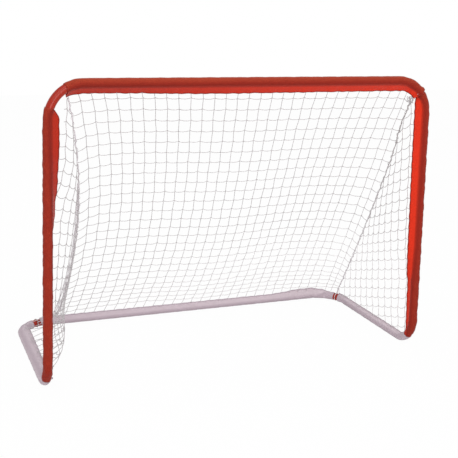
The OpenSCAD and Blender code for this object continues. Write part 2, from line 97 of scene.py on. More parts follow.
class Finish:
    """A material, or a world, whose nodes are added one by one round its shader."""

    def __init__(self, name, family="materials"):
        self.owner = getattr(bpy.data, family).new(name)
        self.owner.use_nodes = True
        self.nodes, self.links = self.owner.node_tree.nodes, self.owner.node_tree.links

    def set(self, made, values):
        """Gives each named or numbered socket of a node its number, colour or link."""
        for name, value in values.items():
            if isinstance(value, Wire):
                self.links.new(value.socket, made.inputs[name])
            else:
                made.inputs[name].default_value = value

    def node(self, kind, settings=(), values=(), output=0):
        """Adds a node, fills in its settings and then its sockets, and gives one output."""
        made = self.nodes.new(kind)
        for name, value in dict(settings).items():
            setattr(made, name, value)
        self.set(made, dict(values))
        return Wire(self, made.outputs[output])

    def place(self):
        """Where a point lies on the goal, in metres."""
        return self.node("ShaderNodeTexCoord", output="Object")

    def axis(self, vector, letter):
        """A vector's X, Y or Z."""
        return self.node("ShaderNodeSeparateXYZ", (), {"Vector": vector}, letter)

    def mix(self, share, first, second):
        """Goes from the first colour to the second as share goes from 0 to 1. The node has
        its colours at sockets 6 and 7, and at output 2."""
        first, second = [c if isinstance(c, Wire) else (*c, 1) for c in (first, second)]
        return self.node("ShaderNodeMix", {"data_type": "RGBA"}, {0: share, 6: first, 7: second}, 2)

    def noise(self, scale, detail=2.0):
        """Cloudy values round a half, so many to the metre."""
        return self.node("ShaderNodeTexNoise", (), {
            "Vector": self.place(), "Scale": scale, "Detail": detail})

    def bump(self, height, depth, **more):
        """A Normal that raises the surface by depth, in metres, where height is 1."""
        return self.node("ShaderNodeBump", (), {"Height": height, "Distance": depth, **more})

    def shade(self, **values):
        """Fills in the Principled shader, whose sockets are named with _ for a space."""
        values = {name.replace("_", " "): value for name, value in values.items()}
        self.set(self.nodes["Principled BSDF"], values)


def repaint(finish, names):
    """Gives CAD nodes a finish in place of the one they came with."""
    for name in names:
        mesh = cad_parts[name].data
        mesh.materials.clear()
        mesh.materials.append(finish.owner)


coat = Finish("red_powder_coat")
orange_peel = coat.noise(300.0)
rubbed = coat.noise(35.0, 6.0).math("SMOOTH_MIN", 0.5, 0.2)
coat.shade(
    Base_Color=coat.mix(coat.noise(14.0), (0.25, 0.013, 0.005), (0.34, 0.021, 0.008)),
    Roughness=0.20 + 0.12 * rubbed,
    Specular_IOR_Level=0.2,
    Normal=coat.bump(orange_peel, 0.000004),
)
repaint(coat, [f"{part}_tube_{side}" for part in ("top", "post", "base")
               for side in ("left", "right")])


# ---- Leaf springs: a folded strip of spring steel in each plug. Its upper arm
# carries the button's flange. The real strip closes up as the button is pressed in;
# this one is built open.
def skin(name, corners, faces, finish, uv=None):
    """An object with smooth faces between corners, from arrays of equal faces. uv has a pair
    of numbers for each corner of each face, in the faces' order."""
    mesh = bpy.data.meshes.new(name)
    mesh.vertices.add(len(corners))
    mesh.vertices.foreach_set("co", np.ravel(corners))
    index = np.concatenate([np.ravel(part) for part in faces])
    sizes = np.concatenate([np.full(len(part), part.shape[1]) for part in faces])
    mesh.loops.add(len(index))
    mesh.loops.foreach_set("vertex_index", index)
    mesh.polygons.add(len(sizes))
    mesh.polygons.foreach_set("loop_start", np.cumsum(sizes) - sizes)
    if uv is not None:
        mesh.uv_layers.new(name="cloth").data.foreach_set("uv", np.ravel(uv))
    mesh.update(calc_edges=True)
    mesh.shade_smooth()
    mesh.materials.append(finish.owner)
    made = bpy.data.objects.new(name, mesh)
    bpy.context.collection.objects.link(made)
    return made


def rings(points, ends=True):
    """Faces of many tubes at once: points is tubes by rings by corners. Each ring joins the
    next one and closes on itself, and a face fills both ends."""
    tubes, count, sides = points.shape[:3]
    index = np.arange(tubes * count * sides).reshape(tubes, count, sides)
    near, far = index[:, :-1], index[:, 1:]
    quads = np.stack([near, np.roll(near, -1, 2), np.roll(far, -1, 2), far], -1).reshape(-1, 4)
    caps = np.concatenate([index[:, 0, ::-1], index[:, -1]])
    return [quads, caps] if ends else [quads]


def strip(mouth, along, towards):
    """A flat strip bent into a V that lies along a tube, as one ring for each point of its
    path: upper arm, half a turn round the fold, lower arm. The path is so high towards the
    button and so far from the mouth along the tube, in millimetres. A ring is a rectangle
    with its corners cut, 6 mm wide and half a millimetre thick."""
    turn = np.linspace(0, np.pi, 13)
    high = np.concatenate([[7.25, 7.32, 7.2], -0.605 + 1.2 * np.cos(turn), [-8.46, -8.5, -8.46]])
    reach = np.concatenate([[24.5, 20.0, 15.5], -6.0 - 1.2 * np.sin(turn), [15.5, 20.0, 24.5]])
    path = np.stack([high, reach], 1)
    ahead = np.gradient(path, axis=0)
    ahead /= np.linalg.norm(ahead, axis=1, keepdims=True)
    over = np.stack([ahead[:, 1], -ahead[:, 0]], 1)
    wide = np.array([3.0, 2.9, -2.9, -3.0, -3.0, -2.9, 2.9, 3.0])
    thick = np.array([-0.15, -0.25, -0.25, -0.15, 0.15, 0.25, 0.25, 0.15])
    flat = path[:, None] + over[:, None] * thick[:, None]
    sideways = np.cross(along, towards)
    return mouth + 0.001 * (
        flat[..., :1] * towards + flat[..., 1:] * along + wide[:, None] * sideways)


spring_steel = Finish("spring_steel")
rolled = spring_steel.noise(1500.0, 4.0)
spring_steel.shade(
    Base_Color=spring_steel.mix(rolled, (0.30, 0.30, 0.32), (0.46, 0.46, 0.47)),
    Metallic=1.0, Roughness=0.28 + 0.2 * rolled, Normal=spring_steel.bump(rolled, 0.00003),
)

lean = np.arctan2(0.020, 0.8733)        # of the posts, outwards to the floor
down_post = np.sin(lean) * out - np.cos(lean) * up
joints = {      # a tube's mouth, the way into it, and the way its button faces
    "crossbar_{}": ((0.0, -0.2864, 0.8864), out, (0.0, 0.548454, -0.836181)),
    "back_bar_{}": ((0.0, 0.2864, 0.0131), out, (0.0, -0.548454, 0.836181)),
    "post_{}_right": ((0.59001, -0.2864, 0.72870), down_post, (-0.6155, 0.788011, -0.014096)),
    "foot_{}_right": ((0.6064, -0.1384, 0.0131), back, (-0.45399, 0.0, 0.891007)),
}
joints = {name: np.array(measures) for name, measures in joints.items()}
for name in ("post_{}", "foot_{}"):
    joints[name + "_left"] = joints[name + "_right"] * (-1, 1, 1)
button_in, lower_arm = 0.020, 0.00846       # the button from the mouth, the arm from the axis

for name, (mouth, along, towards) in joints.items():
    points = strip(mouth, along, towards)[None]
    piece = skin(name.format("spring") + "_strip", points.reshape(-1, 3), rings(points),
                 spring_steel)
    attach(piece, "frame")
    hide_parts(name.format("spring"))
    name.format("button") + "_press"
    tuple(mouth + button_in * along - lower_arm * towards)
    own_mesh(piece)


# ---- Snap buttons: turned steel, a flange under the plug's wall and a round head
# that stands out through both tubes.
steel = Finish("button_steel")
turned = steel.noise(2600.0, 3.0)
steel.shade(
    Base_Color=steel.mix(turned, (0.50, 0.50, 0.51), (0.66, 0.66, 0.67)),
    Metallic=1.0, Roughness=0.22 + 0.18 * turned, Normal=steel.bump(turned, 0.00002),
)
repaint(steel, [name.format("button") for name in joints])


# ---- Red covers: polyester cloth drawn round the tubes, its two edges folded in
# and sewn together in a flap that the net hangs from. One covers the crossbar,
# and one covers each post from the top corner down to the foot.
quarter = np.pi / 2
corner_radius, foot_radius = 0.1, 0.088     # of the tubes' bends, to the middle of the tube
cloth_radius, cloth_thickness = 0.0136, 0.0008
head_out = 0.0145                           # a button's head from the middle of the tube
in_post = -np.cos(lean) * out - np.sin(lean) * up
spans = (   # length, direction, first and second axis, how much it bends towards each
    (0.488664, out, -up, back, 0, 0),
    (corner_radius * (quarter - lean), out, -up, back, 1 / corner_radius, 0),
    (0.68779, down_post, in_post, back, 0, 0),
    (foot_radius * quarter, down_post, in_post, back, 0, 1 / foot_radius),
    (0.3848, back, -out, up, 0, 0),
    (corner_radius * quarter, back, -out, up, 1 / corner_radius, 0),
    (0.5064, -out, -back, up, 0, 0),
)
starts = np.cumsum([0] + [span[0] for span in spans])
bar_end, post_start, post_end, side_start, side_end, back_start, back_middle = starts[1:]


def move_on(start, ahead, inwards, bend, run):
    """The point after a run, and the axis that points inwards there: start + run * ahead on
    a straight, and start + (sin a * ahead + (1 - cos a) * inwards) / bend on an arc, where
    a = bend * run."""
    if not bend:
        return start + run * ahead, inwards + 0 * run
    a = run * bend
    return (start + (np.sin(a) * ahead + (1 - np.cos(a)) * inwards) / bend,
            np.cos(a) * inwards - np.sin(a) * ahead)


def rail(s):
    """The loop of tube at lengths s from the crossbar's middle, to the right where s is
    above 0: its point and the first and second axis square to it. It moves on from span to
    span, and the left half mirrors the right."""
    s = np.where(s > back_middle, s - 2 * back_middle, s)
    size = np.abs(s)[..., None]
    place, first, second = (np.zeros(np.shape(s) + (3,)) for _ in range(3))
    start = joints["crossbar_{}"][0]
    for (length, ahead, one, two, bend_one, bend_two), begin in zip(spans, starts):
        inwards, bend = two if bend_two else one, bend_one + bend_two
        point, turned_in = move_on(start, ahead, inwards, bend, size - begin)
        here = size >= begin - 1e-9
        place = np.where(here, point, place)
        first = np.where(here, one if bend_two else turned_in, first)
        second = np.where(here, turned_in if bend_two else two, second)
        start = move_on(start, ahead, inwards, bend, length)[0]
    side = np.where(s < 0, -1, 1)[..., None] * out + back + up
    return place * side, first * side, second * side


def taper(s, length):
    """Rises from 0 to 1 over a length at the cover's start, as a quarter of a sine."""
    return np.sin(quarter * np.clip((s - s.min()) / length, 0, 1))


def go(s, stations, values):
    """Goes from value to value at the stations, along an S-shaped curve between two:
    3 t^2 - 2 t^3."""
    stations, values = np.array(stations, float), np.array(values, float)
    k = np.clip(np.searchsorted(stations, s) - 1, 0, len(stations) - 2)
    t = np.clip((s - stations[k]) / (stations[k + 1] - stations[k]), 0, 1)
    return values[k] + (values[k + 1] - values[k]) * t * t * (3 - 2 * t)


def spaced(begin, end):
    """Places along a cover, 4 mm apart."""
    return np.linspace(begin, end, int(round((end - begin) / 0.004)) + 1)


def straight_past(bend_radius, depth, angle):
    """Height of a flap that stays in line while its tube bends towards it: the seam is depth
    from the tube, and after an angle (depth - radius (1 - cos)) / cos of it is left."""
    return np.maximum(depth - bend_radius * (1 - np.cos(angle)), 0) / np.cos(angle)


def folds(s, v, seed):
    """Soft creases between -1 and 1: a sum of waves across and aslant, whose lengths have
    no common measure."""
    return (np.sin(131 * s + 2.1 * v + seed) + 0.8 * np.sin(83 * s - 3.3 * v + 2.3 * seed)
            + 0.7 * np.sin(211 * s + 5.2 * v + 1.7 * seed) + 0.5 * np.sin(347 * s - 4.1 * v + seed)
            + 0.4 * np.sin(47 * s + 1.3 * v + 3.1 * seed)) / 2.4


def half_section(r, reach):
    """Half of a cover's section at each place along it. From the far side of the tube it goes
    round a circle to the tangent through the seam, straight along the flap to the sewn band,
    and round the folded edge. Gives x towards the flap, y square to it, and the angle at
    which the cloth faces outwards."""
    half_seam, sewn = 0.0012, 0.006
    band = np.maximum(reach - sewn, r + 0.0006)
    leave = np.arctan2(half_seam, band) + np.arccos(np.clip(r / np.hypot(band, half_seam), 0, 1))
    angle = np.pi + (leave - np.pi) * np.linspace(0, 1, 17)
    flap_part, fold_part = np.linspace(0, 1, 10)[1:], np.linspace(0, quarter, 5)[1:]
    x_leave, y_leave = r * np.cos(leave), r * np.sin(leave)
    x = np.concatenate([r * np.cos(angle), x_leave + (band - x_leave) * flap_part,
                        reach - half_seam + half_seam * np.sin(fold_part)], 1)
    y = np.concatenate([r * np.sin(angle), y_leave + (half_seam - y_leave) * flap_part,
                        half_seam * np.cos(fold_part) + 0 * r], 1)
    return x, y, np.concatenate([angle, leave + 0 * flap_part, leave + 0 * fold_part], 1)


def cover(s, first, second, slack, swell, slant, seed):
    """A cover as a grid, s along the tube by v round it, with its flap's edge at (first,
    second) in the tube's two axes, less a wave of 0.6 mm where the net is laced on. Creases
    are slack deep, and the cloth lies looser round the tube by swell. Both ends are hemmed
    and cut aslant, so that the flap's edge runs ahead of the rest by slant. The cloth rises
    over the buttons' heads and lies flat on the floor. Also gives the way round, a share that
    goes from 0 on the round part to 1 on the flap, and the distance from the folded edge."""
    reach, turn = np.hypot(first, second), np.arctan2(second, first)
    s, r, reach, turn, slack = [np.broadcast_to(a, s.shape)[:, None]
                                for a in (s, cloth_radius + swell, reach, turn, slack)]
    reach = np.maximum(reach + 0.0006 * np.cos(2 * np.pi * s / 0.0338), r + 0.002)
    x, y, facing = half_section(r, reach)
    flap = np.interp(np.arange(x.shape[1]), (8, 19), (0, 1)) + 0 * s      # of 30 points
    x, facing, flap = [np.concatenate([a[:, :0:-1], a[:, :-1]], 1) for a in (x, facing, flap)]
    y = np.concatenate([y[:, :0:-1], -y[:, :-1]], 1)
    facing[:, y.shape[1] // 2 + 1:] *= -1

    ends = np.minimum(s - s[0], s[-1] - s)
    hem = 0.0005 * np.exp(-(ends / 0.012) ** 4) - 0.0003 * np.exp(-((ends - 0.013) / 0.003) ** 2)
    puff = (slack * folds(s, facing, seed) + hem) * (1 - 0.75 * flap)
    x, y = x + puff * np.cos(facing), y + puff * np.sin(facing)
    far_out = np.clip((x - r) / 0.02, 0, 1) ** 2
    y = y + far_out * 0.0012 * folds(0.7 * s, 0 * s, seed + 5)

    place, one, two = rail(s)
    turn = turn[..., None]
    points = (place + x[..., None] * (np.cos(turn) * one + np.sin(turn) * two)
              + y[..., None] * (np.cos(turn) * two - np.sin(turn) * one))
    overhang = (slant[1] * np.exp(-((s[-1] - s) / 0.02) ** 2)
                - slant[0] * np.exp(-((s - s[0]) / 0.02) ** 2)) * (x + r) / 0.04
    points = points + overhang[..., None] * np.cross(one, two)
    for mouth, along, towards in joints.values():
        head = mouth + button_in * along + head_out * towards
        near = np.exp(-(np.linalg.norm(points - head, axis=2) / 0.009) ** 4)
        points = points + 0.0019 * near[..., None] * towards
    points[..., 2] = np.maximum(points[..., 2], 0.0002)

    ring = np.concatenate([points, points[:, :1]], 1)
    steps = np.linalg.norm(np.diff(ring, axis=1), axis=2)
    run = np.concatenate([0 * s, np.cumsum(steps, 1)], 1)
    half = run[:, -1:] / 2
    return points, run, flap, half - np.abs(run[:, :-1] - half)


def sew(name, shape, slant, seed, finish, nodes):
    s = shape[0]
    points, run, flap, from_edge = cover(*shape, slant, seed)
    columns = points.shape[1]
    quads = rings(points[None], ends=False)[0]
    middle = points.mean((0, 1))
    corners = points.reshape(-1, 3)
    a, b, c, d = (corners[quads[:, k]] - middle for k in range(4))
    outwards = np.sum(np.cross(c - a, d - b) * (a + b + c + d)) > 0
    row, column = np.divmod(np.arange(len(quads)), columns)
    loops = np.stack([[row, column], [row, column + 1], [row + 1, column + 1], [row + 1, column]])
    if not outwards:
        quads, loops = quads[:, ::-1], loops[::-1]
    uv = np.stack([s[loops[:, 0]], run[loops[:, 0], loops[:, 1]]], -1).transpose(1, 0, 2)
    piece = skin(name, corners, [quads], finish, uv)
    for key, value in (("flap", flap), ("from_edge", from_edge)):
        layer = piece.data.attributes.new(key, "FLOAT", "POINT")
        layer.data.foreach_set("value", value.ravel().astype(np.float32))
    wall = piece.modifiers.new("wall", "SOLIDIFY")
    wall.thickness, wall.offset = cloth_thickness, -1

    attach(piece, "frame")
    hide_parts(*nodes)
    around = np.mean(run[:, -1] - run[:, 0])
    area = np.linalg.norm(np.cross(c - a, d - b), axis=1).sum() / 2


def cloth_finish(name, body, flap_backlit_colour, wear_and_sheen, shade_and_stitch_colour):
    """Woven polyester: two crossed sets of threads, two rows of stitches along the seam, a
    body, and a thinner flap painted brighter, as light that falls on it and shines through it,
    strongest to the right and fading towards the body's colour to the left. A paler colour goes
    on in clouds of wear and, as a painted sheen, where the cloth faces up. Painted shade darkens
    the fold and the place where the cloth leaves the tube, and the stitches are dark thread."""
    cloth = Finish(name)
    uv = cloth.node("ShaderNodeUVMap", {"uv_map": "cloth"})
    u, v = cloth.axis(uv, "X"), cloth.axis(uv, "Y")
    flap, from_edge = [cloth.node("ShaderNodeAttribute", {"attribute_name": key}, output="Fac")
                       for key in ("flap", "from_edge")]
    threads, stitches = 5200.0, 2 * np.pi / 0.0035      # 1.2 and 3.5 mm apart
    weave = (u * threads).math("SINE") * (v * threads).math("SINE")
    dash = (u * stitches).math("SINE").math("GREATER_THAN", -0.4)
    stitch = dash * (from_edge.math("COMPARE", 0.0030, 0.0005)
                     + from_edge.math("COMPARE", 0.0055, 0.0005))
    fold = from_edge.math("COMPARE", 0.0, 0.0040)
    crease_shade = flap * (1.0 - flap)

    cloudy = cloth.noise(22.0, 5.0)
    # Painted sheen: how far the cloth faces up, where light from above is painted as a paler
    # colour.
    facing = cloth.node("ShaderNodeNewGeometry", output="Normal")
    sheen_from_above = cloth.axis(facing, "Z").math("MAXIMUM", 0.0)
    x = cloth.axis(cloth.place(), "X")
    # Painted light: the flap is brighter, as light shining through thin cloth, strongest to the
    # right.
    colour = cloth.mix(flap, body, cloth.mix(0.28 - 0.6 * x, flap_backlit_colour, body))
    # A paler colour in clouds of wear, and as painted sheen where the cloth faces up.
    colour = cloth.mix((0.25 * cloudy + 0.6 * sheen_from_above) * (1.0 - 0.7 * flap), colour, wear_and_sheen)
    # Painted shade in the crease where the cloth leaves the tube, darkest midway from body to flap.
    colour = cloth.mix(2.8 * crease_shade, colour, shade_and_stitch_colour)
    # Painted shade along the folded edge; the stitches are dark thread in the same colour.
    colour = cloth.mix(0.75 * fold + 0.3 * stitch, colour, shade_and_stitch_colour)
    fine = cloth.bump(weave - 1.6 * stitch, 0.0001, Strength=0.6)
    cloth.shade(
        Base_Color=colour, Roughness=0.62 + 0.2 * cloudy, Sheen_Weight=0.10,
        Sheen_Roughness=0.4, Specular_IOR_Level=0.1,
        Normal=cloth.bump(cloth.noise(60.0, 4.0), 0.0006, Strength=0.5, Normal=fine),
    )
    return cloth


# Colours: body; flap painted brighter, as lit through; paler wear and painted top sheen; painted
# shade, shared by the stitches.
red = cloth_finish("red_cover_cloth", (0.225, 0.0145, 0.007), (0.64, 0.028, 0.009),
                   (0.38, 0.056, 0.024), (0.15, 0.010, 0.006))

# The crossbar's: its flap turns back towards the net, and its right end goes over the tie.
s = spaced(-bar_end - corner_radius * np.radians(29), bar_end + corner_radius * np.radians(50))
past = np.maximum(np.abs(s) - bar_end, 0) / corner_radius
down = go(s, (-0.45, -0.1, 0.45), (0.0300, 0.0352, 0.0338))
down = straight_past(corner_radius, down, past)
down = down + 0.006 * np.clip(-(s + bar_end) / 0.054, 0, 1) ** 1.5
down = np.maximum(down, 0.0258 * (s > bar_end))
behind = 0.0207 * (1 - 0.75 * np.clip((past - 0.5) / 0.4, 0, 1))
slack = 0.0004 + 0.0006 * np.clip(past / 0.5, 0, 1)
tie = bar_end + corner_radius * np.radians(48.5)
over_tie = 0.0026 * np.exp(-((s - tie) / 0.006) ** 4)
sew("crossbar_cover", (s, down, behind, slack, over_tie), (0.009, 0.006), 1.0,
    red, ["crossbar_sleeve"])


def mirrored(s, *others):
    """The shape of a right cover turned into the left one's: s runs on below 0."""
    return -s[::-1], *(other[::-1] for other in others)


def post_cover(side, begin, least, stations, depths, turns, seed):
    """One post's cover, from an angle on the top bend: its flap's depth and turn at stations
    down the post. The flap starts no deeper than least, is all there after 22 mm, and stays
    in line past the bends. The cloth lies closer in the first 60 mm."""
    s = spaced(bar_end + corner_radius * np.radians(begin),
               post_end + foot_radius * np.radians(43.5))
    down_it = s - post_start
    depth, turn = go(down_it, stations, depths), np.radians(go(down_it, stations, turns))
    depth = least + (depth - least) * taper(s, 0.022)
    above = np.clip(-down_it / corner_radius, 0, 0.75)
    below = np.clip((s - post_end) / foot_radius, 0, 0.75)
    first = straight_past(corner_radius, depth * np.cos(turn), above)
    second = straight_past(foot_radius, depth * np.sin(turn), below)
    loose = taper(s, 0.06)
    slack = (0.0011 + 0.0004 * np.clip((above + below) / 0.3, 0, 1)) * (0.3 + 0.7 * loose)
    shape = s, first, second, slack, 0.0009 * loose - 0.0005
    sew("post_cover_" + side, mirrored(*shape) if side == "left" else shape, (0, 0), seed,
        red, ["post_sleeve_" + side])


post_cover("left", 70, 0.018, (-0.04, 0.05, 0.166, 0.232, 0.34, 0.75),
           (0.031, 0.033, 0.033, 0.033, 0.033, 0.031), (5, 7, 24, 42, 58, 70), 2.0)
post_cover("right", 55, 0.032, (-0.05, 0.1, 0.42, 0.52, 0.56, 0.75),
           (0.033, 0.033, 0.031, 0.029, 0.026, 0.024), (21, 22, 24, 38, 52, 55), 3.0)


# ---- White covers: the same covers in white cloth, round the base: one along each
# side, from the foot to just short of the back corner, and one round the back bar.
# Colours: body; flap painted lighter, as lit; paler wear and painted top sheen; painted shade,
# shared by the stitches.
white = cloth_finish("white_cover_cloth", (0.50, 0.41, 0.46), (0.60, 0.51, 0.55),
                     (0.66, 0.57, 0.61), (0.42, 0.34, 0.385))


def side_cover(side, stop, turn, depths, seed):
    """A side's cover: it starts inside the post's cover on the foot bend and stops at an angle
    on the back bend. Its flap is as deep as depths at the two bends, and turned up towards
    the net."""
    s = spaced(post_end + foot_radius * np.radians(44.5),
               side_end + corner_radius * np.radians(stop))
    below = np.clip((side_start - s) / foot_radius, 0, 0.9)
    past = np.clip((s - side_end) / corner_radius, 0, 1)
    depth, turn = go(s, (side_start, side_end), depths), np.radians(turn)
    first = straight_past(corner_radius, depth * np.cos(turn), past)
    second = straight_past(foot_radius, depth * np.sin(turn), below) * (1 - 0.3 * past)
    slack = 0.0005 + 0.0005 * np.clip((past + below) / 0.3, 0, 1)
    shape = s, first, second, slack, 0 * s
    sew("side_cover_" + side, mirrored(*shape) if side == "left" else shape, (0, 0), seed,
        white, ["side_sleeve_" + side])


side_cover("left", 55, 40, (0.026, 0.030), 4.0)
side_cover("right", 19, 75, (0.023, 0.023), 5.0)

# The back bar's: the net draws its flap up at the right end.
s = spaced(side_end + corner_radius * np.radians(32),
           2 * back_middle - side_end - corner_radius * np.radians(81))
past = np.maximum(np.maximum(back_start - s, s - 2 * back_middle + back_start), 0) / corner_radius
first = straight_past(corner_radius, 0.0154, past)
drawn_up = np.clip((s - s[0]) / 0.05, 0, 1) * np.clip((back_start + 0.17 - s) / 0.12, 0, 1)
second = 0.0234 * (1 - 0.5 * np.clip(past / 0.6, 0, 1)) + 0.010 * drawn_up
slack = 0.0005 + 0.0005 * np.clip(past / 0.3, 0, 1)
sew("back_bar_cover", (s, first, second, slack, 0 * s), (0, 0.018), 6.0,
    white, ["back_bar_sleeve"])


# ---- Back net: twine of about 2 mm, knotted in meshes of 38 mm. It hangs from the
# crossbar's flap to the back bar's, slack enough to sag into the goal, and its left
# edge is drawn inwards.
askew = back + 0.31 * up + 0.17 * out       # no cord lies along it


def cords(paths, radius=0.0009, sides=6, twist=0.0):
    """Round cords along many paths at once: a ring square to the path at each of its points,
    whose corners lie at the radius, which a twist swells and shrinks three times round."""
    ahead = np.gradient(paths, axis=1)
    ahead /= np.linalg.norm(ahead, axis=2, keepdims=True)
    across = np.cross(ahead, askew)
    across /= np.linalg.norm(across, axis=2, keepdims=True)
    over = np.cross(ahead, across)
    a = np.linspace(0, 2 * np.pi, sides, endpoint=False)
    step = np.linalg.norm(np.diff(paths, axis=1, prepend=paths[:, :1]), axis=2)
    run = np.cumsum(step, 1)[..., None]
    r = (radius * (1 + 0.16 * (twist > 0) * np.cos(3 * a - run * twist)))[..., None]
    return paths[:, :, None] + r * (
        np.cos(a)[:, None] * across[:, :, None] + np.sin(a)[:, None] * over[:, :, None])


def knots(places, ahead, length=0.0052, radius=0.0017):
    """A lump at each place, longest along ahead: five rings whose radii follow half a
    circle."""
    a = np.linspace(0, 2 * np.pi, 6, endpoint=False)
    h = np.linspace(-0.94, 0.94, 5)
    ahead = ahead / np.linalg.norm(ahead) + 0 * places
    across = np.cross(ahead, askew)
    across /= np.linalg.norm(across, axis=-1, keepdims=True)
    over = np.cross(ahead, across)
    axis = h[:, None] * length / 2 * ahead[:, None]
    wide = radius * np.sqrt(1 - h ** 2)[:, None, None]
    return (places[:, None] + axis)[:, :, None] + wide * (
        np.cos(a)[:, None] * across[:, None, None] + np.sin(a)[:, None] * over[:, None, None])


def knot_up(name, node, parts, finish):
    """Makes one piece from several arrays of tubes, in place of a CAD node."""
    corners, faces, used = [], [], 0
    for part in parts:
        faces += [face + used for face in rings(part)]
        corners.append(part.reshape(-1, 3))
        used += corners[-1].shape[0]
    piece = skin(name, np.concatenate(corners), faces, finish)
    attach(piece, "frame")
    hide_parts(node)


def hang(grid, droop, samples):
    """Paths through rows of knots: straight from knot to knot, less a sag of droop."""
    share = np.linspace(0, 1, samples, endpoint=False)[:, None]
    begin, end = grid[:, :-1, None], grid[:, 1:, None]
    path = begin + (end - begin) * share - 4 * droop * share * (1 - share) * up
    path = path.reshape(len(grid), -1, 3)
    return np.concatenate([path, grid[:, -1:]], 1)


meshes_across, top_back, top_high = 31, -0.2683, 0.8588     # the last two: the crossbar's flap


def back_panel(i, t):
    """The back net at column i of 31 and a share t of its way down. Its top lies along the
    crossbar's flap, its foot along the back bar's. In between it sags square to the slope by
    a sine, and its columns lean inwards by one whose height goes from column to column. The
    right top corner is tied lower, with exp(-distance) of its drop left in the mesh round it,
    and the right edge bows inwards below that by exp(-distance^2)."""
    top = np.interp(i, [0, 1, 8, 29, 31], [-0.534, -0.502, -0.252, 0.510, 0.5646])
    foot = np.interp(i, [0, 29, 31], [-0.490, 0.558, 0.597])
    foot_back = (0.271 - 0.031 * np.exp(-i / 1.2)
                 - 0.042 * np.clip((foot - 0.5) / 0.0967, 0, 1) ** 2)
    lean_in = np.interp(i, [0, 16, 23, 28, 31], [0.056, 0.010, -0.020, -0.024, 0.004])
    lean_in = lean_in * np.abs(np.sin(np.pi * t)) ** 0.8
    from_right = i - meshes_across
    tied = np.exp(from_right / 0.9 - t / 0.05)
    bow = np.exp(from_right / 1.5 - ((t - 0.14) / 0.09) ** 2)
    sag = 0.007 + 0.037 * (1 - np.abs(2 * i / meshes_across - 1) ** 3)
    sag = sag * np.sin(np.pi * t ** 1.2)
    return np.stack([
        top + (foot - top) * t + lean_in - 0.010 * bow - 0.020 * tied,
        top_back + (foot_back - top_back) * t - 0.836 * sag,
        top_high - 0.8223 * t - 0.548 * sag - 0.032 * tied], -1)


twine = Finish("net_twine")
x, z = [twine.axis(twine.place(), letter) for letter in "XZ"]
strands, grime = twine.noise(1400.0, 3.0), twine.noise(25.0, 4.0)
grey = twine.mix(strands, (0.34, 0.33, 0.33), (0.56, 0.54, 0.54))
grey = twine.mix(grime, grey, (0.46, 0.42, 0.43))
pale = twine.mix(strands, (0.54, 0.51, 0.52), (0.72, 0.68, 0.69))
twine.shade(
    Base_Color=twine.mix((0.9 - 2.2 * z) * (1.65 + 3.0 * x), grey, pale),
    Roughness=0.8, Normal=twine.bump(strands, 0.0003),
)

# The rows' shares of the way down: evenly spaced, then lower towards both seams, in a
# slow wave across, and a little higher near the top left corner.
i, row = np.meshgrid(np.arange(meshes_across + 1.0), np.arange(1.0, 27.0), indexing="ij")
t = np.interp(row, [1, 8, 18, 22, 26], [0.030, 0.298, 0.690, 0.840, 0.962])
right = 0.105 * np.exp((i - meshes_across) / 2.6) * np.sin(np.pi * t ** 1.4)
left = 0.055 * np.exp(-i / 1.4) * np.sin(np.pi * t)
wave = 0.008 * t * np.cos(0.45 * (i - 15))
lift = 0.012 * i / 4 * np.exp(1 - i / 4) * (1 - t) ** 3
t = np.minimum(t + right + left + wave - lift, 0.975)

uneven = 0.0012 * np.stack([np.sin(5.1 * i + 2.3 * row), 0 * i, np.sin(3.7 * i - 4.1 * row)], -1)
knot = back_panel(i, t) + uneven
top_edge, foot_edge = [back_panel(i[:, :1], end + 0 * t[:, :1]) for end in (0, 1)]
uprights = hang(np.concatenate([top_edge, knot, foot_edge], 1)[1:-1], 0.0, 3)
levels = hang(knot.transpose(1, 0, 2), 0.0024, 5)
lumps = knots(knot[1:-1].reshape(-1, 3), out + 0.4 * up)
knot_up("back_net_twine", "net_back", [cords(uprights), cords(levels), lumps], twine)


# ---- Side nets: the same net, one piece for each side, between its post, the side of
# the base and the back net. Its columns hang upright and its rows rise to the front.
# The right one hangs nearly flat, the left one in a slack bulge into the goal.
row_gap, column_gap, first_column = 0.034, 0.043, -0.260
low_edge = 0.034        # height of the side covers' flaps


def side_edges(side):
    """The post's flap edge and the seam, as points from the top down."""
    run = np.linspace(0, post_end - post_start + 0.02, 200)
    turn = go(run, (0.1, 0.30), (7, 66)) if side < 0 else go(run, (0.42, 0.56), (22, 56))
    turn, depth = np.radians(turn)[:, None], 0.033 - 0.006 * (run / 0.7)[:, None]
    place, one, two = rail(side * (post_start + run))
    front = place + depth * (np.cos(turn) * one + np.sin(turn) * two)
    return front, back_panel(meshes_across * (side > 0), np.linspace(0, 1, 1000))


def side_panel(side, y, z):
    """A side's net at a place y from front to back and z above the floor. From the post's
    flap to the seam it goes in a straight line, and bulges inwards by a sine. Near the floor
    it flares out to the side's flap."""
    front, seam = side_edges(side)
    x_front, y_front = [np.interp(z, front[::-1, 2], front[::-1, k]) for k in (0, 1)]
    x_seam, y_seam = [np.interp(z, seam[::-1, 2], seam[::-1, k]) for k in (0, 1)]
    q = np.clip((y - y_front) / np.maximum(y_seam - y_front, 1e-4), 0, 1)
    slack, low, flat = (0.012, 0.0, 0.10) if side > 0 else (0.022, 0.028, 0.06)
    bulge = (slack * np.sin(np.pi * np.clip(z / 0.86, 0, 1)) * np.sin(np.pi * q)
             + low * np.exp(-((z - 0.08) / 0.06) ** 2) * np.sin(np.pi * q ** 0.5))
    x = x_front + (x_seam - x_front) * q - side * bulge
    flare = np.clip(1 - (z - low_edge) / flat, 0, 1) ** 2
    return np.stack([x + (side * 0.596 - x) * flare, y, z], -1)


